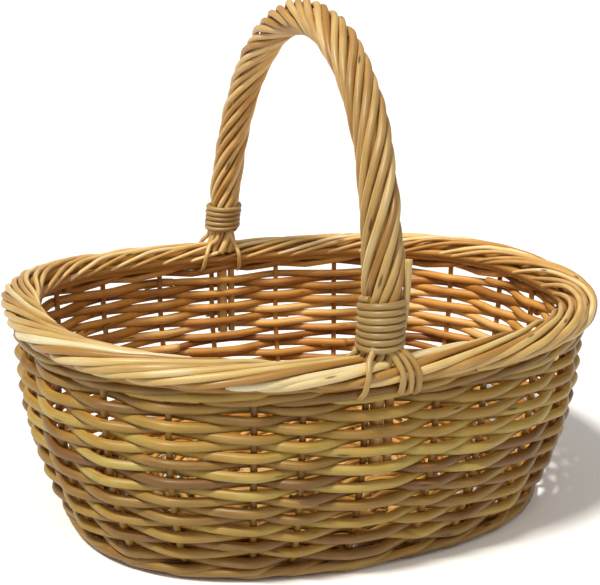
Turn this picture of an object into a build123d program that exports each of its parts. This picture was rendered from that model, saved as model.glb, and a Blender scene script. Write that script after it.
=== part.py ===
from build123d import *
import os
from math import acos, asin, atan, atan2, cos, degrees, pi, sin, sqrt

# Oval willow market basket with one fixed cross handle.
# Millimetres, +Z up, +X along the length, origin on the floor under the middle of the body.

# ---- Driving dimensions ----
# The rim is an oval of eight tangent arcs, and every other outline of the body is parallel to it.
rim_half_length = 225.0
rim_half_width = 187.0
rim_end_radius = 478.0
rim_side_radius = 414.0
rim_corner_radius = 163.0
rim_height = 164.0
rim_sweep = 9.0

# Walls: nearly upright at the top, curving in to the foot.
foot_draw_in = 32.0
flare_height = 120.0
wall_thickness = 15.0
foot_wale_height = 12.0
top_wale_height = 12.0
weave_bands = 4
row_gap = 0.4

# Rolled border.
border_width = 30.0
border_height = 20.0
border_overhang = 9.0
border_round = 7.0

# Stakes: the back has wider gaps than the rest, and an odd count lets one weaver run on and on.
stake_count = 25
stake_diameter = 6.5
stake_first = 44.6
back_stakes = 9
back_gap = 56.0
stake_leg = 22.0
stake_bend_radius = 7.0
stake_socket = 5.0
stake_drift = {12: 8.0, 13: 8.0, 14: 8.0, 15: 16.0, 19: -9.0, 20: -7.0, 21: -10.0}
handle_stakes = {5: 1, 17: -1}

# Base: round sticks threaded through pierced sticks, with weave between them.
base_bottom = 3.0
base_thickness = 14.0
base_ring_width = 42.0
long_stick_count = 3
long_stick_diameter = 6.0
cross_stick_count = 7
cross_stick_diameter = 9.0
cross_stick_gap = 42.0

# Handle: a bow rod, roped with thinner rods and bound at each foot.
handle_offset = -12.5
handle_half_span = 168.5
handle_rise = 201.0
handle_top_radius = 157.0
handle_lean = 11.5
bow_diameter = 14.0
roping_diameter = 27.0
tail_diameter = 9.0
tail_length = 84.0
tail_lean_in = 1.7
liner_diameter = 6.0
front_binding_rise = 6.5
front_binding_height = 27.0
back_binding_rise = 11.0
back_binding_height = 23.0
binding_wall = 2.1
tuck_diameter = 5.5
tuck_spread = 9.0
tuck_bend_radius = 3.2
tuck_run_outside = 4.2
tuck_run_inside = 3.0

# Clearances.
rod_clearance = 0.3
fit_clearance = 0.3
shoulder_clearance = 0.9

# ---- Worked-out sizes ----
wall_top = rim_height - border_height
stake_inset = wall_thickness / 2.0
base_middle = base_bottom + base_thickness / 2.0
base_inset = border_overhang + foot_draw_in + wall_thickness + fit_clearance
band_height = (wall_top - top_wale_height - foot_wale_height) / weave_bands
stick_end_inset = base_inset + stake_leg + rod_clearance + stake_diameter
flare_radius = (foot_draw_in**2 + flare_height**2) / (2.0 * foot_draw_in)


def corner_centre():
    """Centre of the +X+Y corner arc, which runs smoothly into the end arc and the side arc."""
    end = Vector(rim_half_length - rim_end_radius, 0.0)
    side = Vector(0.0, rim_half_width - rim_side_radius)
    apart = side - end
    to_end = rim_end_radius - rim_corner_radius
    to_side = rim_side_radius - rim_corner_radius
    along = (apart.length**2 + to_end**2 - to_side**2) / (2.0 * apart.length)
    across = sqrt(to_end**2 - along**2)
    unit = apart.normalized()
    return end + unit * along + Vector(-unit.Y, unit.X) * across


def quarter_arcs():
    """The oval's arcs from +X round to +Y: centre, rim radius, first and last angle."""
    end = Vector(rim_half_length - rim_end_radius, 0.0)
    side = Vector(0.0, rim_half_width - rim_side_radius)
    corner = corner_centre()
    low = atan2(corner.Y - end.Y, corner.X - end.X)
    high = atan2(corner.Y - side.Y, corner.X - side.X)
    return [
        (end, rim_end_radius, 0.0, low),
        (corner, rim_corner_radius, low, high),
        (side, rim_side_radius, high, pi / 2.0),
    ]


def oval_arcs(inset):
    """All twelve arcs of the outline this far inside the rim's, counterclockwise from +X."""
    arcs = []
    for quarter in range(4):
        flip_x = -1.0 if quarter in (1, 2) else 1.0
        flip_y = -1.0 if quarter in (2, 3) else 1.0
        pieces = quarter_arcs()
        if quarter in (1, 3):
            pieces = list(reversed(pieces))
        for centre, radius, first, last in pieces:
            if quarter in (1, 3):
                first, last = last, first
            angles = []
            for angle in (first, last):
                angles.append(atan2(flip_y * sin(angle), flip_x * cos(angle)) % (2.0 * pi))
            if quarter == 3 and angles[1] < angles[0]:
                angles[1] += 2.0 * pi
            place = Vector(flip_x * centre.X, flip_y * centre.Y)
            arcs.append((place, radius - inset, angles[0], angles[1]))
    return arcs


def on_arc(centre, radius, angle, height=0.0):
    return Vector(centre.X + radius * cos(angle), centre.Y + radius * sin(angle), height)


def outline_face(inset, height):
    edges = []
    for centre, radius, first, last in oval_arcs(inset):
        ends = [on_arc(centre, radius, angle, height) for angle in (first, (first + last) / 2.0, last)]
        edges.append(ThreePointArc(*ends))
    return Face(Wire(edges))


def draw_in(height):
    """How far the wall stands inside its upright part at this height."""
    below = max(flare_height - height, 0.0)
    return flare_radius - sqrt(flare_radius**2 - below**2)


def wall_ring(low, high):
    """A level stretch of the wall, leaning as the wall does between the two heights."""
    low_inset = border_overhang + draw_in(low)
    lean = degrees(atan((draw_in(low) - draw_in(high)) / (high - low)))
    outer = extrude(outline_face(low_inset, low), amount=high - low, taper=-lean)
    inner = extrude(outline_face(low_inset + wall_thickness, low), amount=high - low, taper=-lean)
    return outer - inner


def rise_at(x):
    """How far the rim has swept up at x."""
    return rim_sweep * (x / rim_half_length) ** 2


def below_sweep(height):
    """Everything under a level that sweeps up towards the two ends as the rim does."""
    reach = rim_half_length + border_width
    end = height + rise_at(reach)
    top = ThreePointArc((-reach, end), (0.0, height), (reach, end))
    sides = Polyline((reach, end), (reach, 0.0), (-reach, 0.0), (-reach, end))
    return extrude(Plane.XZ * make_face(Curve([top, sides])), amount=reach, both=True)


def rod(path, diameter):
    return sweep(Plane(origin=path @ 0, z_dir=path % 0) * Circle(diameter / 2.0), path=path)


def place_at(distance):
    """Point and outward angle on the stakes' oval, this far round it from +X."""
    arcs = oval_arcs(border_overhang + stake_inset)
    lengths = [radius * (last - first) for _, radius, first, last in arcs]
    left = distance % sum(lengths)
    for (centre, radius, first, _), length in zip(arcs, lengths):
        if left <= length:
            angle = first + left / radius
            return on_arc(centre, radius, angle), angle
        left -= length
    return place_at(0.0)


def place_at_x(x, side):
    """Point and outward angle on the stakes' oval at this x, on the back (+1) or the front (-1)."""
    radius = rim_side_radius - border_overhang - stake_inset
    centre = Vector(0.0, side * (rim_half_width - rim_side_radius))
    angle = side * acos(x / radius)
    return on_arc(centre, radius, angle), angle


def stake_places():
    arcs = oval_arcs(border_overhang + stake_inset)
    round_length = sum(radius * (last - first) for _, radius, first, last in arcs)
    other_gap = (round_length - back_gap * (back_stakes - 1)) / (stake_count - back_stakes + 1)
    beside = (tail_diameter + stake_diameter) / 2.0 + 4.0 * rod_clearance
    places = []
    for index in range(stake_count):
        along = stake_first + back_gap * min(index, back_stakes - 1) + stake_drift.get(index, 0.0)
        along += other_gap * max(index - back_stakes + 1, 0)
        if index in handle_stakes:
            places.append(place_at_x(handle_offset - beside, handle_stakes[index]))
        else:
            places.append(place_at(along))
    return places


def stake_path(place, angle, leg, rise):
    """In along the base, bent up at the edge, then up the wall's curve and straight to the border."""
    tangent_height = base_middle + 2.0 * stake_bend_radius
    below = flare_height - tangent_height
    tangent_out = -draw_in(tangent_height)
    slope = below / sqrt(flare_radius**2 - below**2)
    corner_out = tangent_out - slope * (tangent_height - base_middle)
    turn_height = tangent_height - tangent_out / slope
    top = wall_top + rise_at(place.X) + rise
    points = [(corner_out - leg, base_middle), (corner_out, base_middle), (0.0, turn_height), (0.0, top)]
    line = FilletPolyline(*points, radius=[stake_bend_radius, flare_radius * 0.999])
    outward = (cos(angle), sin(angle), 0.0)
    return Plane(origin=place, x_dir=outward, z_dir=(outward[1], -outward[0], 0.0)) * line


def arch_side_radius():
    """Radius of the handle's sides, so that they run smoothly into its rounder top."""
    drop = handle_rise - handle_top_radius
    spare = handle_half_span - handle_top_radius
    return (handle_half_span**2 + drop**2 - handle_top_radius**2) / (2.0 * spare)


def on_side_arc(angle, side):
    radius = arch_side_radius()
    return side * (handle_half_span - radius + radius * cos(angle)), radius * sin(angle)


def arch_line():
    joint = atan2(handle_rise - handle_top_radius, arch_side_radius() - handle_half_span)
    front = ThreePointArc(*[on_side_arc(angle, -1.0) for angle in (0.0, joint / 2.0, joint)])
    top = ThreePointArc(on_side_arc(joint, -1.0), (0.0, handle_rise), on_side_arc(joint, 1.0))
    back = ThreePointArc(*[on_side_arc(angle, 1.0) for angle in (joint, joint / 2.0, 0.0)])
    return Curve([front, top, back])


def binding_line(side):
    rise = front_binding_rise if side < 0 else back_binding_rise
    height = front_binding_height if side < 0 else back_binding_height
    low = asin(rise / arch_side_radius())
    high = asin((rise + height) / arch_side_radius())
    return ThreePointArc(*[on_side_arc(angle, side) for angle in (low, (low + high) / 2.0, high)])


def handle_plane():
    """The handle stands on the border, off the middle, and leans a little towards +X."""
    lean = atan2(handle_lean, handle_rise)
    foot = rim_height + shoulder_clearance
    normal = (cos(lean), 0.0, -sin(lean))
    return Plane(origin=(handle_offset, 0.0, foot), x_dir=(0.0, 1.0, 0.0), z_dir=normal)


def tube(line, outer, inner):
    section = Plane(origin=line @ 0, z_dir=line % 0)
    return sweep(section * (Circle(outer / 2.0) - Circle(inner / 2.0)), path=line)


def tail(side, x, diameter, top, bottom):
    """A straight rod end inside the wall, which leans in with the wall towards the foot."""
    ends = []
    for height in (top, bottom):
        y = handle_half_span + (height - rim_height) * tail_lean_in / tail_length
        ends.append(Vector(x, side * y, height))
    return rod(Line(*ends), diameter)


def side_line(inset, x):
    """Half width, near the middle of a side, of the outline this far inside the rim's."""
    return rim_half_width - rim_side_radius + sqrt((rim_side_radius - inset) ** 2 - x**2)


def tuck(side, shift, inside):
    """A roping rod's end, laid over the border and tucked down against the wall."""
    radius = tuck_diameter / 2.0 + fit_clearance
    rise = front_binding_rise if side < 0 else back_binding_rise
    reach = -1.0 if inside else 1.0
    start_y = handle_half_span + reach * (roping_diameter / 2.0 + radius + 1.0)
    border_inset = border_width if inside else 0.0
    wall_inset = border_overhang + (wall_thickness if inside else 0.0)
    fall = 2.0 * tuck_spread if inside else 1.5 * tuck_spread
    xs = [handle_offset + shift * part for part in (1.0, 1.5, 1.8)]
    over, edge = [side_line(border_inset, x) + reach * (radius + 0.5) for x in xs[:2]]
    if inside:
        start_y = min(start_y, over - tuck_run_inside)
    else:
        over = max(over, start_y + tuck_run_outside)
        edge = max(edge, over - tuck_run_outside / 4.0)
    wall = side_line(wall_inset, xs[2]) + reach * (radius + 1.0)
    points = [
        (handle_offset + shift * 0.6, side * start_y, rim_height + rise - tuck_diameter / 2.0),
        (xs[0], side * over, rim_height + radius + 2.0),
        (xs[1], side * edge, wall_top),
        (xs[2], side * wall, wall_top - fall),
    ]
    return rod(FilletPolyline(*points, radius=[tuck_bend_radius, 9.0]), tuck_diameter)


def save(name, shape):
    found = shape.solids()
    whole = found[0] if len(found) == 1 else Compound(children=list(found))
    export_step(whole, os.path.join("parts", name + ".step"))


os.makedirs("parts", exist_ok=True)
liner_x = handle_offset + (tail_diameter + liner_diameter) / 2.0 + 4.0 * rod_clearance
tail_foot = rim_height - tail_length

# ---- Stakes, bow ends and liners, and the channels that they lie in ----
channels = []
for number, (place, angle) in enumerate(stake_places(), start=1):
    save(f"side_stake_{number:02d}", rod(stake_path(place, angle, stake_leg, stake_socket), stake_diameter))
    clear_path = stake_path(place, angle, stake_leg + rod_clearance, stake_socket + rod_clearance)
    channels.append(rod(clear_path, stake_diameter + 2.0 * rod_clearance))
for side, name in ((-1, "front"), (1, "back")):
    bow_channel = tail_diameter + 2.0 * rod_clearance
    liner_channel = liner_diameter + 2.0 * rod_clearance
    channels.append(tail(side, handle_offset, bow_channel, rim_height + 5.0, tail_foot - rod_clearance))
    channels.append(tail(side, liner_x, liner_channel, wall_top + rod_clearance, tail_foot - rod_clearance))
    save(f"handle_liner_{name}", tail(side, liner_x, liner_diameter, wall_top - rod_clearance, tail_foot))

# ---- Wall ----
save("foot_wale", wall_ring(0.0, foot_wale_height) - channels)
for number in range(1, weave_bands + 1):
    low = foot_wale_height + band_height * (number - 1)
    save(f"side_weave_band_{number}", wall_ring(low + row_gap, low + band_height) - channels)
wale_low = wall_top - top_wale_height + row_gap
top_wale = wall_ring(wale_low, wall_top + rim_sweep) & below_sweep(wall_top - row_gap)
save("top_wale", top_wale - channels)

# ---- Border ----
rim_top = rim_height + 2.0 * rim_sweep
rim_ring = extrude(outline_face(0.0, 0.0), amount=rim_top)
rim_ring = rim_ring - extrude(outline_face(border_width, 0.0), amount=rim_top)
border = (rim_ring & below_sweep(rim_height)) - below_sweep(wall_top)
long_edges = border.edges().filter_by(lambda edge: edge.length > border_height * 1.5)
border = fillet(long_edges, radius=border_round)
save("rolled_border", border - channels)

# ---- Base ----
slot_width = long_stick_count * (long_stick_diameter + fit_clearance) + fit_clearance
slot_height = long_stick_diameter + 2.0 * fit_clearance
stick_bounds = outline_face(stick_end_inset, base_middle).bounding_box()
for index in range(long_stick_count):
    y = (index - (long_stick_count - 1) / 2.0) * (long_stick_diameter + fit_clearance)
    half = stick_bounds.max.X - abs(y) / 4.0
    stick = rod(Line((-half, y, base_middle), (half, y, base_middle)), long_stick_diameter)
    save(f"base_long_stick_{index + 1}", stick)
long_slot = Pos(0.0, 0.0, base_middle) * Box(2.0 * stick_bounds.max.X, slot_width, slot_height)
base_cuts = channels[:stake_count] + [long_slot]
for index in range(cross_stick_count):
    x = (index - (cross_stick_count - 1) / 2.0) * cross_stick_gap
    span = outline_face(stick_end_inset, base_middle) & Pos(x, 0.0, base_middle) * Rectangle(0.5, 2.0 * rim_half_width)
    half = span.bounding_box().max.Y
    line = Line((x, -half, base_middle), (x, half, base_middle))
    slot = Pos(x, 0.0, base_middle) * Box(2.0 * cross_stick_diameter, slot_width, slot_height)
    save(f"base_cross_stick_{index + 1}", rod(line, cross_stick_diameter) - slot)
    base_cuts.append(rod(line, cross_stick_diameter + 2.0 * rod_clearance))
for index, ring_name in enumerate(["base_weave_outer", "base_weave_middle", "base_weave_centre"]):
    inset = base_inset + base_ring_width * index
    plate = extrude(outline_face(inset, base_bottom), amount=base_thickness)
    if ring_name != "base_weave_centre":
        hole = extrude(outline_face(inset + base_ring_width - row_gap, base_bottom), amount=base_thickness)
        plate = plate - hole
    save(ring_name, plate - base_cuts)

# ---- Handle ----
stand = handle_plane()
arch = stand * arch_line()
tails = [tail(side, handle_offset, tail_diameter, rim_height + 5.0, tail_foot) for side in (-1, 1)]
save("handle_bow", rod(arch, bow_diameter) + tails)
save("handle_roping", tube(arch, roping_diameter, bow_diameter + 2.0 * fit_clearance))
for side, name in ((-1, "front"), (1, "back")):
    inner = roping_diameter + 2.0 * fit_clearance
    save(f"handle_binding_{name}", tube(stand * binding_line(side), inner + 2.0 * binding_wall, inner))
    shifts = [(-1.6, False), (0.4, False), (2.0, False), (-1.2, True), (0.8, True)]
    tucks = [tuck(side, shift * tuck_spread, inside) for shift, inside in shifts]
    save(f"handle_tucked_ends_{name}", Compound(children=tucks))
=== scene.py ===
import math

import bpy
import numpy as np
from bpy.props import FloatProperty, FloatVectorProperty, IntProperty, PointerProperty
from mathutils import Matrix, Vector


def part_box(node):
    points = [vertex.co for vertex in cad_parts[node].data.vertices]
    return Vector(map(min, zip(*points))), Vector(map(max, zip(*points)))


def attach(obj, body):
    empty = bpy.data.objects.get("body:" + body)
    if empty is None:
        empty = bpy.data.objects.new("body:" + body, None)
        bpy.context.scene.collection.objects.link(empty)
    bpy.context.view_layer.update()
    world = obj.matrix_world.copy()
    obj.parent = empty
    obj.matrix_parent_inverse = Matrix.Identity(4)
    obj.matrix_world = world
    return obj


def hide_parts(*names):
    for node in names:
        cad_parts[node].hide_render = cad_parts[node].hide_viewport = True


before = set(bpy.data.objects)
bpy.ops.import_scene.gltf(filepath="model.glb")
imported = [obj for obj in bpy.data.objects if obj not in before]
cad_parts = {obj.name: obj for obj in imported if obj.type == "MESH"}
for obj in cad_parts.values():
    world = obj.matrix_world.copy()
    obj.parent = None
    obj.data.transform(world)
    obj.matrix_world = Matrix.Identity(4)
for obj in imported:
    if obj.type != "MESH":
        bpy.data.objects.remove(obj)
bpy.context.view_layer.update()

bl_info = {
    "name": "Willow Market Basket",
    "version": (1, 0, 0),
    "blender": (4, 5, 0),
    "location": "View3D > Sidebar > Basket",
    "description": "Weaves an oval willow basket, rod by rod, around its packed frame",
    "category": "Add Mesh",
}

# Lengths in the code are millimetres; properties and meshes are in metres.
MM = 0.001


def cad_box(node):
    """Lowest and highest corner of a frame node, in millimetres."""
    low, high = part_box(node)
    return np.array(low) / MM, np.array(high) / MM


# ---- Sizes taken from the frame ----
BORDER_LOW, BORDER_HIGH = cad_box("rolled_border")
RIM_HALF_LENGTH = BORDER_HIGH[0]
RIM_HALF_WIDTH = BORDER_HIGH[1]
WALL_TOP = BORDER_LOW[2]
BASE_MIDDLE = sum(cad_box("base_cross_stick_1")[side][2] for side in (0, 1)) / 2.0
STAKE_COUNT = sum(1 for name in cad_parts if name.startswith("side_stake_"))

# ---- Sizes that the frame was drawn to ----
OUTLINE_POWER = 2.37
BORDER_OVERHANG = 9.0
BORDER_WIDTH = 30.0
BORDER_HEIGHT = 20.0
RIM_HEIGHT = WALL_TOP + BORDER_HEIGHT
RIM_SWEEP = 9.0
WALL_THICKNESS = 15.0
FLARE_HEIGHT = 120.0
FOOT_DRAW_IN = 32.0
FLARE_RADIUS = (FOOT_DRAW_IN**2 + FLARE_HEIGHT**2) / (2.0 * FOOT_DRAW_IN)
STAKE_LINE = BORDER_OVERHANG + WALL_THICKNESS / 2.0
BASE_INSET = BORDER_OVERHANG + FOOT_DRAW_IN + WALL_THICKNESS
FOOT_WALE_HEIGHT = 12.0
TOP_WALE_HEIGHT = 12.0
HANDLE_STAKES = (5, 17)
HANDLE_OFFSET = -12.5
HANDLE_HALF_SPAN = 168.5
HANDLE_RISE = 201.0
HANDLE_TOP_RADIUS = 157.0
HANDLE_LEAN = 11.5
HANDLE_FOOT = RIM_HEIGHT + 0.9
OVAL_STEPS = 3600

# ---- How the rods are laid ----
BASE_ROD_SHARE = 0.44
BASE_OPEN_MIDDLE = 12.0
BASE_ROWS_ROUND_STAKES = 5
WEAVER_STOPS = (13, 15, 17)
WEAVER_OVERLAP = 0.22
WEAVER_RISE_EASE = 0.12
WALE_RODS = 3
WALE_TURN = 0.16
BORDER_ARC_START = -72.0
BORDER_ARC = 300.0
BORDER_CORNER_POWER = 2.6
# Under the rolled rods lie the bent-over stakes: how far in from the stakes' line, and how high.
BORDER_BED = ((-4.0, 1.5), (4.0, 1.5), (0.0, 3.5), (8.0, 6.0))
BORDER_BED_RADIUS = 3.4
BOW_RADIUS = 7.6
ROPING_OVERRUN = 9.0
BINDING_PINCH_HEIGHT = 18.0
BINDING_SEAT = 11.4
TUCKED_RODS = (
    (-11.0, -17.0, False),
    (2.0, 9.0, False),
    (6.5, 15.0, False),
    (11.0, 20.5, False),
    (-8.0, -20.0, True),
    (6.0, 14.0, True),
)


# ---- The basket's lines ----
def make_oval():
    """Points and outward normals of the rim's outline, evenly spaced from +X round towards +Y."""
    angle = np.linspace(0.0, 2.0 * np.pi, 4 * OVAL_STEPS, endpoint=False)
    share = 2.0 / OUTLINE_POWER
    x = RIM_HALF_LENGTH * np.sign(np.cos(angle)) * np.abs(np.cos(angle)) ** share
    y = RIM_HALF_WIDTH * np.sign(np.sin(angle)) * np.abs(np.sin(angle)) ** share
    closed = np.column_stack([np.append(x, x[0]), np.append(y, y[0])])
    along = np.concatenate([[0.0], np.cumsum(np.linalg.norm(np.diff(closed, axis=0), axis=1))])
    even = np.linspace(0.0, along[-1], OVAL_STEPS, endpoint=False)
    points = np.column_stack([np.interp(even, along, closed[:, axis]) for axis in (0, 1)])
    smooth = points.copy()
    for _ in range(60):
        smooth = (np.roll(smooth, 8, axis=0) + smooth + np.roll(smooth, -8, axis=0)) / 3.0
    step = np.roll(smooth, -6, axis=0) - np.roll(smooth, 6, axis=0)
    step /= np.linalg.norm(step, axis=1)[:, None]
    return points, np.column_stack([step[:, 1], -step[:, 0]]), along[-1]


OVAL_POINTS, OVAL_NORMALS, OVAL_LENGTH = make_oval()


def around(values, turn):
    """Values of a closed table at these shares of a whole turn."""
    place = (np.asarray(turn, float) % 1.0) * len(values)
    low = np.floor(place).astype(int) % len(values)
    share = (place - np.floor(place))[..., None]
    return values[low] * (1.0 - share) + values[(low + 1) % len(values)] * share


def draw_in(height):
    """How far the wall stands inside its upright part at this height."""
    below = np.clip(FLARE_HEIGHT - np.asarray(height, float), 0.0, FLARE_HEIGHT)
    return FLARE_RADIUS - np.sqrt(FLARE_RADIUS**2 - below**2)


def at_inset(turn, inset, height):
    """Points this far inside the rim's outline, at the height."""
    turn = np.asarray(turn, float)
    inset = np.broadcast_to(inset, turn.shape)
    plan = around(OVAL_POINTS, turn) - around(OVAL_NORMALS, turn) * inset[:, None]
    return np.column_stack([plan, np.broadcast_to(height, turn.shape)])


def sweep_up(points):
    """Lifts a level line as the rim lifts towards the basket's two ends."""
    points = points.copy()
    points[:, 2] *= 1.0 + RIM_SWEEP / RIM_HEIGHT * (points[:, 0] / RIM_HALF_LENGTH) ** 2
    return points


def on_wall(turn, offset, height):
    """Points of the wall at an outward offset from the stakes' line."""
    height = np.broadcast_to(height, np.shape(turn)).astype(float)
    return sweep_up(at_inset(turn, STAKE_LINE + draw_in(height) - offset, height))


def turn_of(x, y):
    """Share of a turn at which a point of the stakes' line lies."""
    line = OVAL_POINTS - OVAL_NORMALS * STAKE_LINE
    return float(np.argmin(np.hypot(line[:, 0] - x, line[:, 1] - y))) / OVAL_STEPS


def stake_turn(index):
    """Share of a turn at which a stake stands, read from its upper end in the frame."""
    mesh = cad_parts[f"side_stake_{index + 1:02d}"].data
    points = np.empty(len(mesh.vertices) * 3)
    mesh.vertices.foreach_get("co", points)
    points = points.reshape(-1, 3) / MM
    upper = points[points[:, 2] > points[:, 2].max() - 0.5]
    middle = (upper.min(axis=0) + upper.max(axis=0)) / 2.0
    return turn_of(middle[0], middle[1])


# The weavers pass the stake, the bow's end and the liner at each handle foot as one group.
GROUP_HALF_WIDTH = 10.5
STAKE_TURNS = np.array([stake_turn(index) for index in range(STAKE_COUNT)])
STOP_TURNS = STAKE_TURNS.copy()
STOP_HALF = np.full(STAKE_COUNT, 1.5)
STOP_RADIUS = np.full(STAKE_COUNT, 1.2)
for stake in HANDLE_STAKES:
    toward_back = 1.0 if stake == HANDLE_STAKES[0] else -1.0
    STOP_TURNS[stake] = turn_of(HANDLE_OFFSET, toward_back * (RIM_HALF_WIDTH - STAKE_LINE))
    STOP_HALF[stake] = GROUP_HALF_WIDTH
    STOP_RADIUS[stake] = 2.6


def turn_at(count):
    """Share of a turn after this many stops, counted on past a whole round."""
    count = np.asarray(count, float)
    table = np.append(STOP_TURNS, STOP_TURNS[0] + 1.0)
    rounds = np.floor(count / STAKE_COUNT)
    return rounds + np.interp(count - rounds * STAKE_COUNT, np.arange(STAKE_COUNT + 1), table)


def ease(share):
    return share * share * (3.0 - 2.0 * share)


def between_stops(count):
    """The last stop before each count, the next one, and the eased way from one's edge to the other's."""
    last = np.floor(count).astype(int)
    gap = (turn_at(last + 1.0) - turn_at(last.astype(float))) * OVAL_LENGTH
    low = STOP_HALF[last % STAKE_COUNT] / gap
    high = 1.0 - STOP_HALF[(last + 1) % STAKE_COUNT] / gap
    share = np.clip((count - last - low) / (high - low), 0.0, 1.0)
    return last, last + 1, 0.6 * share + 0.4 * ease(share)


def passing(count, sides, thickness):
    """Offset of a weaver that passes each stop on its given side."""
    last, following, share = between_stops(count)
    here = sides(last) * (STOP_RADIUS[last % STAKE_COUNT] + thickness)
    there = sides(following) * (STOP_RADIUS[following % STAKE_COUNT] + thickness)
    return here * (1.0 - share) + there * share


def handle_line(step):
    """The handle's centre line from the front foot to the back one, with its lean, evenly spaced."""
    drop = HANDLE_RISE - HANDLE_TOP_RADIUS
    spare = HANDLE_HALF_SPAN - HANDLE_TOP_RADIUS
    side_radius = (HANDLE_HALF_SPAN**2 + drop**2 - HANDLE_TOP_RADIUS**2) / (2.0 * spare)
    joint = math.atan2(drop, side_radius - HANDLE_HALF_SPAN)
    rise = np.linspace(0.0, joint, 400)
    side_across = HANDLE_HALF_SPAN - side_radius + side_radius * np.cos(rise)
    side = np.column_stack([side_across, side_radius * np.sin(rise)])
    swing = np.linspace(joint, np.pi - joint, 900)[1:-1]
    top = np.column_stack([HANDLE_TOP_RADIUS * np.cos(swing), drop + HANDLE_TOP_RADIUS * np.sin(swing)])
    flat = np.vstack([side, top, side[::-1] * (-1.0, 1.0)])[::-1]
    along = np.concatenate([[0.0], np.cumsum(np.linalg.norm(np.diff(flat, axis=0), axis=1))])
    even = np.linspace(0.0, along[-1], int(along[-1] / step) + 1)
    across = np.interp(even, along, flat[:, 0])
    up = np.interp(even, along, flat[:, 1])
    lean = math.atan2(HANDLE_LEAN, HANDLE_RISE)
    leaned = HANDLE_OFFSET + up * math.sin(lean)
    points = np.column_stack([leaned, across, HANDLE_FOOT + up * math.cos(lean)])
    return points, even, np.array([math.cos(lean), 0.0, -math.sin(lean)])


# ---- Rods ----
class Rods:
    """Gathers rods into one mesh, and keeps each rod's tone and grain on its points."""

    def __init__(self, seed, sides=10):
        self.random = np.random.default_rng(seed)
        self.sides = sides
        self.points = []
        self.faces = []
        self.caps = []
        self.grain = []
        self.tone = []
        self.outward = []
        self.count = 0

    def add(self, path, radius, tone, closed=False, sides=None):
        sides = sides or self.sides
        path = np.asarray(path, float)
        number = len(path)
        radius = np.broadcast_to(radius, number).astype(float)
        if closed:
            tangent = np.roll(path, -1, axis=0) - np.roll(path, 1, axis=0)
        else:
            tangent = np.gradient(path, axis=0)
        tangent /= np.linalg.norm(tangent, axis=1)[:, None]
        across = np.empty_like(path)
        start = np.cross(tangent[0], (0.0, 0.0, 1.0))
        if np.linalg.norm(start) < 0.2:
            start = np.cross(tangent[0], (0.0, 1.0, 0.0))
        across[0] = start / np.linalg.norm(start)
        for index in range(1, number):
            moved = across[index - 1] - tangent[index] * (across[index - 1] @ tangent[index])
            across[index] = moved / np.linalg.norm(moved)
        other = np.cross(tangent, across)
        angle = np.linspace(0.0, 2.0 * np.pi, sides, endpoint=False)
        twist = np.zeros(number)
        if closed:
            slip = math.atan2(across[-1] @ other[0], across[-1] @ across[0])
            twist = -slip * np.arange(number) / number
        spin = angle[None, :] + twist[:, None]
        ring = across[:, None, :] * np.cos(spin)[..., None] + other[:, None, :] * np.sin(spin)[..., None]
        points = path[:, None, :] + ring * radius[:, None, None]
        length = np.concatenate([[0.0], np.cumsum(np.linalg.norm(np.diff(path, axis=0), axis=1))])
        shift = self.random.uniform(0.0, 900.0, 3)
        grain = np.empty((number, sides, 3))
        grain[..., 0] = radius[:, None] * np.cos(angle)[None, :] + shift[0]
        grain[..., 1] = radius[:, None] * np.sin(angle)[None, :] + shift[1]
        grain[..., 2] = length[:, None] + shift[2]
        index = np.arange(number * sides).reshape(number, sides) + self.count
        nexts = np.roll(index, -1, axis=1)
        last = number if closed else number - 1
        after = np.roll(index, -1, axis=0)
        after_nexts = np.roll(nexts, -1, axis=0)
        quads = np.stack([index[:last], nexts[:last], after_nexts[:last], after[:last]], axis=-1)
        self.faces.extend(quads.reshape(-1, 4).tolist())
        if not closed:
            self.caps.append(index[0][::-1].tolist())
            self.caps.append(index[-1].tolist())
        self.points.append(points.reshape(-1, 3))
        self.grain.append(grain.reshape(-1, 3))
        self.tone.append(np.full(number * sides, tone))
        # How far each point faces out from the basket; the finishes use it to paint shade on the outer face.
        reach = points[..., :2] / (RIM_HALF_LENGTH, RIM_HALF_WIDTH)
        self.outward.append((ring[..., :2] * reach).sum(axis=-1).ravel())
        self.count += number * sides

    def build(self, name, material, nodes=()):
        mesh = bpy.data.meshes.new(name)
        mesh.from_pydata((np.vstack(self.points) * MM).tolist(), [], self.faces + self.caps)
        smooth = np.ones(len(mesh.polygons), dtype=bool)
        smooth[len(self.faces):] = False
        mesh.polygons.foreach_set("use_smooth", smooth)
        grain = mesh.attributes.new("rod_grain", "FLOAT_VECTOR", "POINT")
        grain.data.foreach_set("vector", (np.vstack(self.grain) * MM).ravel())
        tone = mesh.attributes.new("rod_tone", "FLOAT", "POINT")
        tone.data.foreach_set("value", np.concatenate(self.tone))
        # The outward measure carries the painted shade of the outer face.
        outward = mesh.attributes.new("rod_outward", "FLOAT", "POINT")
        outward.data.foreach_set("value", np.concatenate(self.outward))
        mesh.materials.append(material)
        mesh.update()
        if mesh.validate():
            raise RuntimeError(f"{name} had faults in its mesh")
        piece = bpy.data.objects.new(name, mesh)
        bpy.context.scene.collection.objects.link(piece)
        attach(piece, "root")
        if nodes:
            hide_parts(*nodes)
        return piece


def through(points, spacing=2.5):
    """A smooth line through given points, with a point every few millimetres."""
    points = np.asarray(points, float)
    padded = np.vstack([2.0 * points[0] - points[1], points, 2.0 * points[-1] - points[-2]])
    pieces = []
    for a, b, c, d in zip(padded, padded[1:], padded[2:], padded[3:]):
        steps = max(int(np.linalg.norm(c - b) / spacing), 2)
        t = np.linspace(0.0, 1.0, steps, endpoint=False)[:, None]
        bend = (2.0 * a - 5.0 * b + 4.0 * c - d) * t**2 + (3.0 * b - a - 3.0 * c + d) * t**3
        pieces.append(0.5 * (2.0 * b + (c - a) * t + bend))
    pieces.append(points[-1:])
    return np.vstack(pieces)


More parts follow.
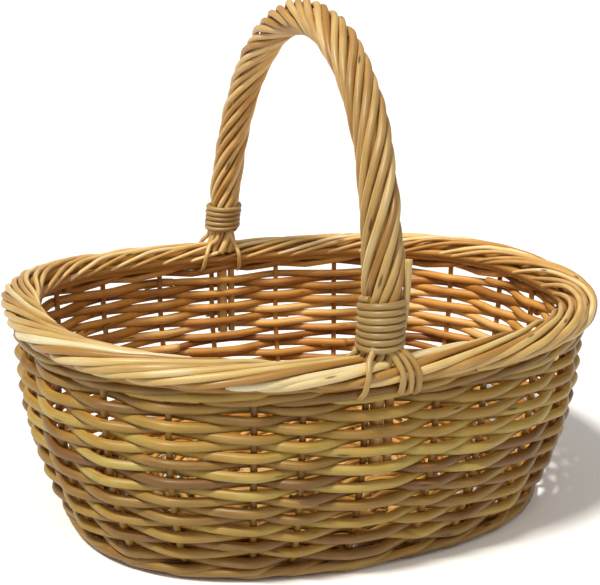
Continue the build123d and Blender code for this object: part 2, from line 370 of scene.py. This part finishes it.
def wander(random, count, knots, amount):
    """A slow random drift along a rod."""
    values = random.normal(0.0, amount, max(int(knots), 2))
    return np.interp(np.linspace(0.0, len(values) - 1.0, count), np.arange(len(values)), values)


# ---- Materials ----
def linear(code):
    """A hex sRGB colour as linear RGBA."""
    parts = [int(code[place:place + 2], 16) / 255.0 for place in (1, 3, 5)]
    return [part / 12.92 if part <= 0.04045 else ((part + 0.055) / 1.055) ** 2.4 for part in parts] + [1.0]


def add_node(tree, kind, settings=(), values=(), links=()):
    """Adds a node with its settings, its sockets' values, and links into its sockets."""
    node = tree.nodes.new(kind)
    for name, value in dict(settings).items():
        setattr(node, name, value)
    for socket, value in dict(values).items():
        node.inputs[socket].default_value = value
    for socket, source in dict(links).items():
        tree.links.new(source, node.inputs[socket])
    return node


# Willow grows in one season, so its grain is fine and runs along the rod.
GRAIN_WIDTH = 0.9
GRAIN_STRETCH = 0.05
PATCH_LENGTH = 30.0
KNOT_SPACING = 40.0
KNOT_STRETCH = 0.2


def willow_rod(name, dark, middle, light, knot_shade, painted_shade, roughness, lying=None):
    """Peeled willow: satin skin, tan streaks, small bud scars, and painted shade that greys and darkens the
    face turned out from the basket.

    The grain runs along each rod, or along the given axis of the basket where a stick lies straight.
    """
    material = bpy.data.materials.new(name)
    material.use_nodes = True
    tree = material.node_tree
    tree.nodes.clear()
    tone = add_node(tree, "ShaderNodeAttribute", {"attribute_name": "rod_tone"})
    if lying is None:
        place = add_node(tree, "ShaderNodeAttribute", {"attribute_name": "rod_grain"}).outputs["Vector"]
    else:
        place = add_node(tree, "ShaderNodeTexCoord").outputs["Object"]
    length_axis = 2 if lying is None else lying
    grain_scale = [GRAIN_STRETCH if axis == length_axis else 1.0 for axis in range(3)]
    knot_scale = [KNOT_STRETCH if axis == length_axis else 1.0 for axis in range(3)]
    drawn = add_node(tree, "ShaderNodeVectorMath", {"operation": "MULTIPLY"}, {1: grain_scale}, {0: place})
    streak = add_node(tree, "ShaderNodeTexNoise", {},
                      {"Scale": 1.0 / (GRAIN_WIDTH * MM), "Detail": 3.0, "Roughness": 0.6},
                      {"Vector": drawn.outputs[0]})
    patch = add_node(tree, "ShaderNodeTexNoise", {}, {"Scale": 1.0 / (PATCH_LENGTH * MM), "Detail": 2.0},
                     {"Vector": place})
    patched = add_node(tree, "ShaderNodeMath", {"operation": "MULTIPLY_ADD"}, {1: 0.6},
                       {0: patch.outputs["Fac"], 2: tone.outputs["Fac"]})
    level = add_node(tree, "ShaderNodeMath", {"operation": "MULTIPLY_ADD"}, {1: 0.5},
                     {0: streak.outputs["Fac"], 2: patched.outputs[0]})
    spread = add_node(tree, "ShaderNodeMapRange", {}, {"From Min": 0.25, "From Max": 1.35},
                      {"Value": level.outputs[0]})
    ramp = add_node(tree, "ShaderNodeValToRGB", {}, {}, {"Fac": spread.outputs[0]})
    stops = ramp.color_ramp.elements
    stops.new(0.5)
    for stop, shade, share in zip(stops, (dark, middle, light), (0.0, 0.5, 1.0)):
        stop.position = share
        stop.color = shade
    squeezed = add_node(tree, "ShaderNodeVectorMath", {"operation": "MULTIPLY"}, {1: knot_scale}, {0: place})
    scars = add_node(tree, "ShaderNodeTexVoronoi", {}, {"Scale": 1.0 / (KNOT_SPACING * KNOT_STRETCH * MM)},
                     {"Vector": squeezed.outputs[0]})
    scar = add_node(tree, "ShaderNodeMapRange", {},
                    {"From Min": 0.07, "From Max": 0.14, "To Min": 0.8, "To Max": 0.0},
                    {"Value": scars.outputs["Distance"]})
    colour = add_node(tree, "ShaderNodeMix", {"data_type": "RGBA"}, {7: knot_shade},
                      {0: scar.outputs[0], 6: ramp.outputs[0]})
    # Painted shade: the face turned out from the basket is multiplied towards a darker, greyer colour.
    outward = add_node(tree, "ShaderNodeAttribute", {"attribute_name": "rod_outward"})
    outer_shade = add_node(tree, "ShaderNodeMapRange", {}, {"From Min": -0.3, "From Max": 0.45},
                       {"Value": outward.outputs["Fac"]})
    colour = add_node(tree, "ShaderNodeMix", {"data_type": "RGBA", "blend_type": "MULTIPLY"}, {7: painted_shade},
                      {0: outer_shade.outputs[0], 6: colour.outputs[2]})
    sheen = add_node(tree, "ShaderNodeMapRange", {}, {"To Min": roughness - 0.1, "To Max": roughness + 0.15},
                     {"Value": streak.outputs["Fac"]})
    height = add_node(tree, "ShaderNodeMath", {"operation": "MULTIPLY_ADD"}, {1: -0.6},
                      {0: scar.outputs[0], 2: streak.outputs["Fac"]})
    bump = add_node(tree, "ShaderNodeBump", {}, {"Strength": 0.4, "Distance": 0.4 * MM},
                    {"Height": height.outputs[0]})
    shader = add_node(tree, "ShaderNodeBsdfPrincipled", {},
                      {"IOR": 1.5, "Metallic": 0.0, "Coat Weight": 0.1, "Coat Roughness": 0.3},
                      {"Base Color": colour.outputs[2], "Roughness": sheen.outputs[0],
                       "Normal": bump.outputs[0]})
    add_node(tree, "ShaderNodeOutputMaterial", {}, {}, {"Surface": shader.outputs[0]})
    return material


# The basket's axis that the grain of each straight piece runs along.
STRAIGHT_FINISHES = {"buff_willow_long_stick": 0, "buff_willow_cross_stick": 1, "buff_willow_upright": 2}


def finish(name):
    """The named finish, made once from the basket's colours."""
    if name in bpy.data.materials:
        return bpy.data.materials[name]
    colours = bpy.context.scene.basket_colours
    # Buff willow is boiled in its bark, which stains it tan; peeled again it is smooth with a satin sheen.
    if name == "buff_willow_weave":
        return willow_rod(name, colours.weave_dark, colours.weave_middle, colours.weave_light,
                          colours.scar, colours.painted_shade_weave, 0.48)
    # Thicker rods kept for the border are coloured paler than the weave, partly painted light on the lit
    # rim, and shine more where hands polish them.
    if name == "buff_willow_border":
        return willow_rod(name, colours.border_dark, colours.border_middle, colours.border_light,
                          colours.scar, colours.painted_shade_border, 0.4)
    # The rods on the handle are the border's, with painted shade greying and darkening their outer side.
    if name == "buff_willow_roping":
        return willow_rod(name, colours.border_dark, colours.border_middle, colours.border_light,
                          colours.scar, colours.painted_shade_roping, 0.4)
    # Thick base sticks and the bow are the same buff willow, cut straight, with the grain along them.
    if name in STRAIGHT_FINISHES:
        return willow_rod(name, colours.border_dark, colours.border_middle, colours.border_light,
                          colours.scar, colours.painted_shade_border, 0.5, STRAIGHT_FINISHES[name])
    # White willow, stripped in spring: near-white, smooth, and the palest wood on the basket; its colours
    # here are set to a darker tan, partly painted shade, and its outer face takes the border's painted shade
    # too.
    if name == "white_willow_binding":
        return willow_rod(name, colours.binding_dark, colours.binding_middle, colours.binding_light,
                          colours.scar, colours.painted_shade_border, 0.42)
    raise RuntimeError(f"no finish called {name}")


def size(value):
    """A length property in millimetres."""
    return value / MM


def colour_property(name, description, code):
    return FloatVectorProperty(name=name, description=description, subtype="COLOR", size=4,
                               min=0.0, max=1.0, default=linear(code))


def length_property(name, description, millimetres):
    return FloatProperty(name=name, description=description, unit="LENGTH", subtype="DISTANCE",
                         min=0.0, default=millimetres * MM)


class BasketSizes(bpy.types.PropertyGroup):
    weaver_butt: length_property("Weaver butt", "Radius of a side weaver at its thick end", 3.8)
    weaver_tip: length_property("Weaver tip", "Radius of a side weaver at its thin end", 3.1)
    side_rounds: IntProperty(name="Side rounds", description="Rounds of weave between the wales",
                             default=18, min=1)
    stake_radius: length_property("Stake radius", "Radius of a side stake", 2.4)
    wale_radius: length_property("Wale rod radius", "Radius of a waling rod", 3.0)
    border_butt: length_property("Border rod butt", "Radius of a border rod where it leaves the wall", 2.9)
    border_tip: length_property("Border rod tip", "Radius of a border rod at its tucked tip", 1.5)
    border_rods: IntProperty(name="Border rods", description="Rods rolled over the rim", default=47, min=8)
    border_reach: length_property("Border reach", "How far along the rim one border rod runs", 225.0)
    roping_rods: IntProperty(name="Roping rods", description="Rods wrapped round the bow", default=10, min=3)
    roping_radius: length_property("Roping rod radius", "Radius of a roping rod", 2.9)
    roping_pitch: length_property("Roping pitch", "Length of one full wrap along the handle", 175.0)
    binding_radius: length_property("Binding rod radius", "Radius of the rod bound round each foot", 2.3)
    base_row_gap: length_property("Base row gap", "Distance between rows of the base weave", 5.4)


class BasketColours(bpy.types.PropertyGroup):
    weave_dark: colour_property("Weave dark", "Darkest side weaver", "#9A5F22")
    weave_middle: colour_property("Weave middle", "Usual side weaver", "#D99F4C")
    weave_light: colour_property("Weave light", "Lightest side weaver", "#FAE0A2")
    border_dark: colour_property("Border dark", "Darkest border or roping rod", "#B8843C")
    border_middle: colour_property("Border middle", "Usual border or roping rod", "#E9C582")
    border_light: colour_property("Border light", "Lightest border or roping rod", "#FFF6DE")
    binding_dark: colour_property("Binding dark", "Darkest binding rod", "#85622C")
    binding_middle: colour_property("Binding middle", "Usual binding rod", "#BA9860")
    binding_light: colour_property("Binding light", "Lightest binding rod", "#E2CE9F")
    scar: colour_property("Bud scar", "Small dark scars where buds grew", "#3B2310")
    # Painted shade: these colours are multiplied over the face of each piece that is turned out from the
    # basket.
    painted_shade_weave: colour_property("Shaded weave",
                                     "What shading does to the outer face of the weave", "#B0BF98")
    painted_shade_border: colour_property("Shaded border",
                                      "What shading does to the outer face of the border", "#D2D6CC")
    painted_shade_roping: colour_property("Shaded roping",
                                      "What shading does to the outer face of the handle", "#B6B4A6")
    floor: colour_property("Floor", "Plain pale floor", "#F1F2F5")


class BASKET_OT_base(bpy.types.Operator):
    """Weaves the oval base over and under its sticks"""

    bl_idname = "basket.base"
    bl_label = "Base"

    def execute(self, context):
        sizes = context.scene.basket_sizes
        gap = size(sizes.base_row_gap)
        radius = gap * BASE_ROD_SHARE
        sticks = [cad_box(f"base_cross_stick_{number}") for number in range(1, 8)]
        stick_x = [(low[0] + high[0]) / 2.0 for low, high in sticks]
        stick_half = (sticks[0][1][0] - sticks[0][0][0]) / 2.0
        rods = Rods(11, sides=8)
        rows = int((RIM_HALF_WIDTH - BASE_INSET - BASE_OPEN_MIDDLE) / gap)
        for row in range(rows):
            turn = np.linspace(0.0, 1.0, 640 - 14 * row, endpoint=False)
            inset = BASE_INSET + radius - 3.0 + gap * row
            line = at_inset(turn, inset, BASE_MIDDLE)
            if row < BASE_ROWS_ROUND_STAKES:
                places = list(STAKE_TURNS)
            else:
                places = []
                for x in stick_x + [None]:
                    for side in (-1.0, 1.0):
                        if x is None:
                            places.append(0.0 if side > 0.0 else 0.5)
                        elif abs(x) < abs(line[:, 0]).max() - 6.0:
                            half = line[:, 1] * side > 0.0
                            places.append(float(turn[half][np.argmin(abs(line[half, 0] - x))]))
            places = sorted(places)
            ends = np.array([places[-1] - 1.0] + places + [places[0] + 1.0])
            signs = np.array([(-1.0) ** (row + number) for number in range(-1, len(places) + 1)])
            if len(places) % 2 == 0:
                signs[-1] = signs[1]
            index = np.clip(np.searchsorted(ends, turn, side="right") - 1, 0, len(ends) - 2)
            share = (turn - ends[index]) / (ends[index + 1] - ends[index])
            wave = signs[index] * (1.0 - ease(share)) + signs[index + 1] * ease(share)
            line[:, 2] += wave * (stick_half + radius) * (0.75 if row < BASE_ROWS_ROUND_STAKES else 1.0)
            line[:, 2] += wander(rods.random, len(turn), 30, 0.15)
            thick = radius * rods.random.uniform(0.94, 1.04)
            rods.add(line, thick, rods.random.uniform(-0.2, 0.25), closed=True)
        rods.build("woven_base", finish("buff_willow_weave"),
                   ("base_weave_outer", "base_weave_middle", "base_weave_centre"))
        for name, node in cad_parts.items():
            if name.startswith("base_long_stick"):
                dress(node, "buff_willow_long_stick")
            elif name.startswith("base_cross_stick"):
                dress(node, "buff_willow_cross_stick")
            elif name.startswith(("handle_bow", "handle_liner")):
                dress(node, "buff_willow_upright")
        return {"FINISHED"}


def dress(node, name):
    """Gives a frame node the named finish."""
    node.data.materials.clear()
    node.data.materials.append(finish(name))


class BASKET_OT_stakes(bpy.types.Operator):
    """Stands the side stakes, which leave the base, turn up and run to the border"""

    bl_idname = "basket.stakes"
    bl_label = "Stakes"

    def execute(self, context):
        radius = size(context.scene.basket_sizes.stake_radius)
        rods = Rods(23, sides=12)
        for turn in STAKE_TURNS:
            heights = np.linspace(19.0, WALL_TOP + 4.0, 40)
            wall = on_wall(np.full(len(heights), turn), 0.0, heights)
            inner = STAKE_LINE + draw_in(BASE_MIDDLE)
            leg = at_inset(np.full(3, turn), inner + np.array([30.0, 16.0, 5.0]), BASE_MIDDLE)
            path = through(np.vstack([leg, wall[::3], wall[-1:]]), 4.0)
            drift = wander(rods.random, len(path), 6, 0.3)
            path[:, 0] += drift
            path[:, 1] += drift
            taper = np.linspace(radius + 0.1, radius - 0.2, len(path))
            rods.add(path, taper, rods.random.uniform(-0.25, 0.2))
        nodes = [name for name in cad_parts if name.startswith("side_stake_")]
        rods.build("side_stakes", finish("buff_willow_weave"), nodes)
        return {"FINISHED"}


class BASKET_OT_side_weave(bpy.types.Operator):
    """Runs one weaver after another in front of one stake and behind the next, round and round"""

    bl_idname = "basket.side_weave"
    bl_label = "Side weave"

    def execute(self, context):
        sizes = context.scene.basket_sizes
        butt, tip = size(sizes.weaver_butt), size(sizes.weaver_tip)
        rods = Rods(37, sides=10)
        random = rods.random
        total = sizes.side_rounds * STAKE_COUNT
        low = FOOT_WALE_HEIGHT - 1.0
        rise = WALL_TOP - TOP_WALE_HEIGHT + 2.0 - low
        start = 0
        while start < total:
            gaps = int(random.choice(WEAVER_STOPS))
            stop = min(start + gaps, total)
            if total - stop < 6:
                stop = total
            count = np.linspace(start - WEAVER_OVERLAP, stop + WEAVER_OVERLAP, (stop - start) * 13 + 6)
            share = np.linspace(0.0, 1.0, len(count))
            radius = butt + (tip - butt) * share + wander(random, len(count), stop - start, 0.07)
            offset = passing(count, lambda stake: np.where(stake % 2 == 0, -1.0, 1.0), (butt + tip) / 2.0)
            offset -= 3.0 * np.clip(1.0 - (count - count[0]) / 0.5, 0.0, 1.0) ** 2
            progress = count / total
            height = low + rise * ((1.0 + WEAVER_RISE_EASE) * progress - WEAVER_RISE_EASE * progress**2)
            height = height + wander(random, len(count), (stop - start) * 2, 0.28)
            height -= 1.6 * np.clip(1.0 - (count[-1] - count) / 0.6, 0.0, 1.0)
            rods.add(on_wall(turn_at(count), offset, height), radius, random.normal(0.04, 0.25))
            start = stop
        rods.build("side_weave", finish("buff_willow_weave"),
                   [f"side_weave_band_{number}" for number in range(1, 5)])
        return {"FINISHED"}


def wale(rods, low, high, radius, first):
    """A round of three rods, each in front of two stakes and behind one, lying over one another."""
    middle = (low + high) / 2.0
    climb = (high - low) / 2.0 - radius
    for rod in range(WALE_RODS):
        count = np.linspace(first + rod, first + rod + STAKE_COUNT + 0.9, STAKE_COUNT * 15)
        offset = passing(count, lambda stake: np.where((stake - rod) % WALE_RODS == 0, -1.0, 1.35), radius)
        phase = ((count - rod) % WALE_RODS) / WALE_RODS
        level = (phase - 0.5) / (0.5 - WALE_TURN)
        level = np.where(phase > 1.0 - WALE_TURN, (1.0 - phase) / WALE_TURN, level)
        level = np.where(phase < WALE_TURN, -phase / WALE_TURN, level)
        height = middle + climb * 0.9 * level + wander(rods.random, len(count), len(count) / 8, 0.2)
        thin = radius * (1.0 + wander(rods.random, len(count), 24, 0.03))
        rods.add(on_wall(turn_at(count), offset, height), thin, rods.random.normal(0.0, 0.15))


class BASKET_OT_wales(bpy.types.Operator):
    """Works a three-rod wale at the foot and another under the border"""

    bl_idname = "basket.wales"
    bl_label = "Wales"

    def execute(self, context):
        radius = size(context.scene.basket_sizes.wale_radius)
        foot = Rods(41, sides=10)
        wale(foot, 0.3, FOOT_WALE_HEIGHT + 1.0, radius, 2)
        foot.build("foot_wale_rods", finish("buff_willow_weave"), ("foot_wale",))
        top = Rods(43, sides=10)
        wale(top, WALL_TOP - TOP_WALE_HEIGHT + 1.0, WALL_TOP + 4.0, radius, 7)
        top.build("top_wale_rods", finish("buff_willow_weave"), ("top_wale",))
        return {"FINISHED"}


class BASKET_OT_border(bpy.types.Operator):
    """Rolls the border: each rod starts low outside, climbs over the rim and goes down inside"""

    bl_idname = "basket.border"
    bl_label = "Border"

    def execute(self, context):
        sizes = context.scene.basket_sizes
        butt, tip = size(sizes.border_butt), size(sizes.border_tip)
        reach = size(sizes.border_reach) / OVAL_LENGTH
        middle_inset = BORDER_WIDTH / 2.0
        middle_height = RIM_HEIGHT - BORDER_HEIGHT / 2.0
        rods = Rods(53, sides=12)
        random = rods.random
        for number in range(sizes.border_rods):
            share = np.linspace(0.0, 1.0, 60)
            butt_here = butt * random.uniform(0.9, 1.08)
            tip_here = tip * random.uniform(0.85, 1.1)
            radius = butt_here + (tip_here - butt_here) * share**1.2
            start = (number + random.uniform(-0.18, 0.18)) / sizes.border_rods
            turn = start + reach * random.uniform(0.93, 1.05) * (share - 0.5)
            turned = share + 0.055 * np.sin(2.0 * np.pi * share)
            angle = np.radians(BORDER_ARC_START + BORDER_ARC * turned)
            angle = angle + wander(random, len(share), 5, 0.07)
            sunk = 0.5 + np.abs(wander(random, len(share), 6, 0.8))
            wide = BORDER_WIDTH / 2.0 - radius - sunk
            tall = BORDER_HEIGHT / 2.0 - radius - sunk * 0.8
            power = BORDER_CORNER_POWER
            corner = (np.abs(np.cos(angle)) ** power + np.abs(np.sin(angle)) ** power) ** (-1.0 / power)
            out = wide * np.cos(angle) * corner
            up = tall * np.sin(angle) * corner
            path = at_inset(turn, middle_inset - out, middle_height + up)
            rods.add(sweep_up(path), radius, random.normal(0.02, 0.24))
        # The core and the stakes' bed under the rolled rods get fixed dark tones: painted shade in the gaps
        # between the rods.
        core = at_inset(np.linspace(0.0, 1.0, 500, endpoint=False), middle_inset, middle_height)
        rods.add(sweep_up(core), BORDER_HEIGHT / 2.0 - butt * 1.6, -0.5, closed=True)
        for shift, lift in BORDER_BED:
            bed = at_inset(np.linspace(0.0, 1.0, 500, endpoint=False), STAKE_LINE + shift, WALL_TOP + lift)
            rods.add(sweep_up(bed), BORDER_BED_RADIUS, -0.35, closed=True)
        rods.build("border_rods", finish("buff_willow_border"), ("rolled_border",))
        return {"FINISHED"}


def on_handle(along, angle, distance):
    """Points beside the handle's line: this far along it, at the angle round it, and this far out."""
    line, even, normal = HANDLE
    place = np.column_stack([np.interp(along, even, line[:, axis]) for axis in range(3)])
    tangent = np.gradient(line, axis=0)
    tangent = np.column_stack([np.interp(along, even, tangent[:, axis]) for axis in range(3)])
    tangent /= np.linalg.norm(tangent, axis=1)[:, None]
    below = np.minimum(along, 0.0)
    beyond = np.maximum(along - even[-1], 0.0)
    place = place + tangent * (below + beyond)[:, None]
    other = np.cross(tangent, normal)
    around_it = normal[None, :] * np.cos(angle)[:, None] + other * np.sin(angle)[:, None]
    return place + around_it * np.broadcast_to(distance, along.shape)[:, None]


HANDLE = handle_line(1.0)


class BASKET_OT_handle(bpy.types.Operator):
    """Ropes the handle's bow with thin rods laid side by side in one long twist"""

    bl_idname = "basket.handle"
    bl_label = "Handle roping"

    def execute(self, context):
        sizes = context.scene.basket_sizes
        radius = size(sizes.roping_radius)
        length = HANDLE[1][-1]
        rods = Rods(61, sides=10)
        random = rods.random
        for number in range(sizes.roping_rods):
            along = np.linspace(-ROPING_OVERRUN, length + ROPING_OVERRUN, 260)
            share = (along + ROPING_OVERRUN) / (length + 2.0 * ROPING_OVERRUN)
            direction = 1.0 if number % 2 == 0 else -1.0
            taper = 1.0 - 0.16 * (share if direction > 0.0 else 1.0 - share)
            thin = radius * taper * random.uniform(0.92, 1.06)
            angle = 2.0 * np.pi * (number / sizes.roping_rods + along / size(sizes.roping_pitch))
            angle = angle + wander(random, len(along), 14, 0.06)
            distance = BOW_RADIUS + thin + 0.9 * (np.abs(share - 0.5) * 2.0) ** 4
            above_foot = np.minimum(along, length - along)
            pinch = np.exp(-((above_foot - BINDING_PINCH_HEIGHT) / 17.0) ** 4)
            distance = distance - 2.3 * pinch + wander(random, len(along), 26, 0.4)
            rods.add(on_handle(along, angle, distance), thin, random.normal(0.0, 0.26))
        rods.build("handle_roping_rods", finish("buff_willow_roping"), ("handle_roping",))
        return {"FINISHED"}


class BASKET_OT_bindings(bpy.types.Operator):
    """Binds each handle foot and tucks the roping's ends away over the border"""

    bl_idname = "basket.bindings"
    bl_label = "Bindings and ends"

    def execute(self, context):
        sizes = context.scene.basket_sizes
        radius = size(sizes.binding_radius)
        length = HANDLE[1][-1]
        feet = (("front", 1.0, 0.0, 71, 7.0), ("back", -1.0, length, 73, 5.0))
        for name, sign, origin, seed, turns in feet:
            rods = Rods(seed, sides=10)
            random = rods.random
            low, high = cad_box(f"handle_binding_{name}")
            foot = low[2] - HANDLE_FOOT + radius - (3.5 if sign > 0.0 else 0.0)
            height = high[2] - HANDLE_FOOT - radius - foot
            share = np.linspace(-0.03, 1.03, int(turns * 40))
            inside = np.clip(share, 0.0, 1.0)
            angle = 2.0 * np.pi * turns * share + (2.2 if sign > 0.0 else 0.4)
            slant = 1.7 * np.sin(angle + 0.6) * (1.0 - inside) ** 1.5 + 0.5 * np.sin(angle + 2.0)
            distance = BINDING_SEAT + radius - 2.6 * (np.abs(share - inside) / 0.03)
            distance = distance + wander(random, len(share), 22, 0.15)
            path = on_handle(origin + sign * (foot + height * share + slant), angle * sign, distance)
            rods.add(path, radius, random.normal(0.1, 0.05))
            rods.build(f"handle_binding_rods_{name}", finish("white_willow_binding"),
                       (f"handle_binding_{name}",))
            self.tuck_ends(name, -sign, seed + 100)
        return {"FINISHED"}

    def tuck_ends(self, name, side, seed):
        """Rods that leave the roping under the binding, cross the border and go down beside the wall."""
        rods = Rods(seed, sides=10)
        random = rods.random
        edge = RIM_HALF_WIDTH - 0.5
        for lean, fan, inside in TUCKED_RODS:
            reach = -1.0 if inside else 1.0
            border_edge = edge - (BORDER_WIDTH - 1.0 if inside else 0.0)
            x = HANDLE_OFFSET
            points = [
                (x + lean * 0.6, side * (HANDLE_HALF_SPAN + reach * 7.0), RIM_HEIGHT + 16.0),
                (x + lean * 0.85, side * (HANDLE_HALF_SPAN + reach * 10.5), RIM_HEIGHT + 5.0),
                (x + lean + (fan - lean) * 0.4, side * (border_edge - reach * 3.5), RIM_HEIGHT - 0.4),
                (x + lean + (fan - lean) * 0.8, side * (border_edge + reach * 1.4), RIM_HEIGHT - 9.0),
                (x + fan, side * (border_edge - reach * 2.5), RIM_HEIGHT - BORDER_HEIGHT - 1.0),
                (x + fan * 1.1, side * (border_edge - reach * 12.0), RIM_HEIGHT - BORDER_HEIGHT - 7.0),
            ]
            thin = random.uniform(2.0, 2.5)
            path = through(points)
            rods.add(path, np.linspace(thin, thin * 0.85, len(path)), random.normal(0.05, 0.1))
        if side < 0.0:
            x = HANDLE_OFFSET + 12.0
            y = side * (HANDLE_HALF_SPAN + 5.0)
            stub = through([(x - 4.0, y, RIM_HEIGHT - 6.0), (x + 1.0, y, RIM_HEIGHT + 16.0),
                            (x + 3.4, y + 0.5, RIM_HEIGHT + 40.0), (x + 4.6, y + 1.5, RIM_HEIGHT + 60.0)])
            rods.add(stub, np.linspace(2.7, 2.3, len(stub)), 0.25)
        rods.build(f"tucked_rod_ends_{name}", finish("buff_willow_roping"),
                   (f"handle_tucked_ends_{name}",))


class BASKET_OT_stage(bpy.types.Operator):
    """Sets the pale floor, soft lights and the camera"""

    bl_idname = "basket.stage"
    bl_label = "Stage"

    def execute(self, context):
        scene = context.scene
        mesh = bpy.data.meshes.new("floor")
        half = 80.0
        corners = [(-half, -half, 0.0), (half, -half, 0.0), (half, half, 0.0), (-half, half, 0.0)]
        mesh.from_pydata(corners, [], [(0, 1, 2, 3)])
        floor = bpy.data.objects.new("floor", mesh)
        scene.collection.objects.link(floor)
        material = bpy.data.materials.new("matt_paper_floor")
        material.use_nodes = True
        shader = material.node_tree.nodes["Principled BSDF"]
        shader.inputs["Base Color"].default_value = scene.basket_colours.floor
        shader.inputs["Roughness"].default_value = 0.9
        mesh.materials.append(material)
        world = bpy.data.worlds.new("pale_room")
        world.use_nodes = True
        tree = world.node_tree
        aim = add_node(tree, "ShaderNodeTexCoord")
        parts = add_node(tree, "ShaderNodeSeparateXYZ", {}, {}, {0: aim.outputs["Generated"]})
        glow = add_node(tree, "ShaderNodeMapRange", {},
                        {"From Min": 0.02, "From Max": 0.2, "To Min": 1.0, "To Max": 0.3},
                        {"Value": parts.outputs["Z"]})
        background = tree.nodes["Background"]
        background.inputs["Color"].default_value = (1.0, 1.0, 1.0, 1.0)
        tree.links.new(glow.outputs[0], background.inputs["Strength"])
        scene.world = world
        scene.view_settings.view_transform = "Standard"
        for name, place, power, spread, tint in (
            ("key", (-0.6, -0.28, 1.2), 3.5, 9.0, (1.0, 0.95, 0.85)),
            ("fill", (-0.05, -0.75, 1.0), 0.8, 40.0, (1.0, 0.9, 0.74)),
        ):
            light = bpy.data.lights.new(name, "SUN")
            light.energy = power
            light.angle = math.radians(spread)
            light.color = tint
            lamp = bpy.data.objects.new(name, light)
            lamp.location = place
            lamp.rotation_euler = (-Vector(place)).to_track_quat("-Z", "Y").to_euler()
            scene.collection.objects.link(lamp)
        camera_data = bpy.data.cameras.new("camera")
        camera_data.sensor_width = 36.0
        camera_data.lens = 65.70
        camera_data.shift_x = -0.0018
        camera_data.shift_y = 0.0180
        camera = bpy.data.objects.new("camera", camera_data)
        right = Vector((0.93248125, -0.36101774, 0.01203813))
        up = Vector((0.08769603, 0.25858995, 0.96199826))
        back = Vector((-0.35041138, -0.89598963, 0.2727901))
        turned = Matrix((right, up, back)).transposed().to_4x4()
        camera.matrix_world = Matrix.Translation((-0.2980, -0.7620, 0.3820)) @ turned
        scene.collection.objects.link(camera)
        scene.camera = camera
        return {"FINISHED"}


PIECES = (BASKET_OT_base, BASKET_OT_stakes, BASKET_OT_side_weave, BASKET_OT_wales, BASKET_OT_border,
          BASKET_OT_handle, BASKET_OT_bindings, BASKET_OT_stage)


class BASKET_PT_panel(bpy.types.Panel):
    bl_idname = "BASKET_PT_panel"
    bl_label = "Willow Basket"
    bl_space_type = "VIEW_3D"
    bl_region_type = "UI"
    bl_category = "Basket"

    def draw(self, context):
        layout = self.layout
        for group in (context.scene.basket_sizes, context.scene.basket_colours):
            for name in group.__annotations__:
                layout.prop(group, name)
        for piece in PIECES:
            layout.operator(piece.bl_idname)


CLASSES = (BasketSizes, BasketColours) + PIECES + (BASKET_PT_panel,)


def register():
    for item in CLASSES:
        bpy.utils.register_class(item)
    bpy.types.Scene.basket_sizes = PointerProperty(type=BasketSizes)
    bpy.types.Scene.basket_colours = PointerProperty(type=BasketColours)


def unregister():
    del bpy.types.Scene.basket_colours
    del bpy.types.Scene.basket_sizes
    for item in reversed(CLASSES):
        bpy.utils.unregister_class(item)


def main():
    register()
    bpy.ops.basket.base()
    bpy.ops.basket.stakes()
    bpy.ops.basket.side_weave()
    bpy.ops.basket.wales()
    bpy.ops.basket.border()
    bpy.ops.basket.handle()
    bpy.ops.basket.bindings()
    bpy.ops.basket.stage()


if __name__ == "__main__":
    main()
